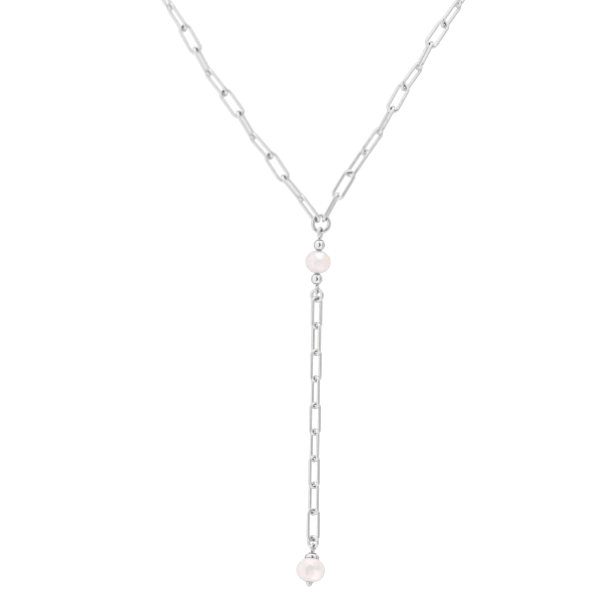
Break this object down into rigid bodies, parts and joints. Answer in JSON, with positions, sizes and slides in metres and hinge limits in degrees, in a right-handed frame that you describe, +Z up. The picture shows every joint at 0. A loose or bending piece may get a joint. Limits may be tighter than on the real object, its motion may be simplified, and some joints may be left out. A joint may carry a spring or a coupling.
{
  "type": "lariat necklace",
  "caption": "Neck chain of paper-clip links that meets in a V at a ring, with a pearl between silver beads below it and a capped pearl at the end of a link tail.",
  "frame": {"origin": "middle of the clasp at the nape, where the loop rests on the back of the neck", "axes": "+Z up as worn, -Y to the front, towards the V and the tail, +X to the right as seen from the front"},
  "size_m": [0.1229, 0.1129, 0.2164],
  "materials": {
    "silver": "polished sterling silver, mirror bright with fine wear at the joints",
    "pearl": "white freshwater nacre with a soft lustre and a pink to grey-beige overtone"
  },
  "bodies": {
    "necklace": {"neck_chain_left": "silver", "neck_chain_right": "silver", "y_ring": "silver", "station_pin": "silver", "station_bead_upper": "silver", "station_pearl": "pearl", "station_bead_lower": "silver", "tail_ring_upper": "silver", "tail_link_1": "silver", "tail_link_2": "silver", "tail_link_3": "silver", "tail_link_4": "silver", "tail_link_5": "silver", "tail_link_6": "silver", "tail_link_7": "silver", "tail_link_8": "silver", "tail_link_9": "silver", "tail_ring_lower": "silver", "clasp": "silver", "clasp_ring_left": "silver", "clasp_ring_right": "silver"},
    "pearl_drop": {"drop_pin": "silver", "drop_cap": "silver", "drop_pearl": "pearl"}
  },
  "joints": [
    {"name": "pearl_drop_swing", "type": "hinge", "parent": "necklace", "child": "pearl_drop", "pos_m": [-0.00219, -0.105, -0.20335], "axis": [0.7659, -0.6428, -0.012], "range_deg": [-60, 60]}
  ]
}
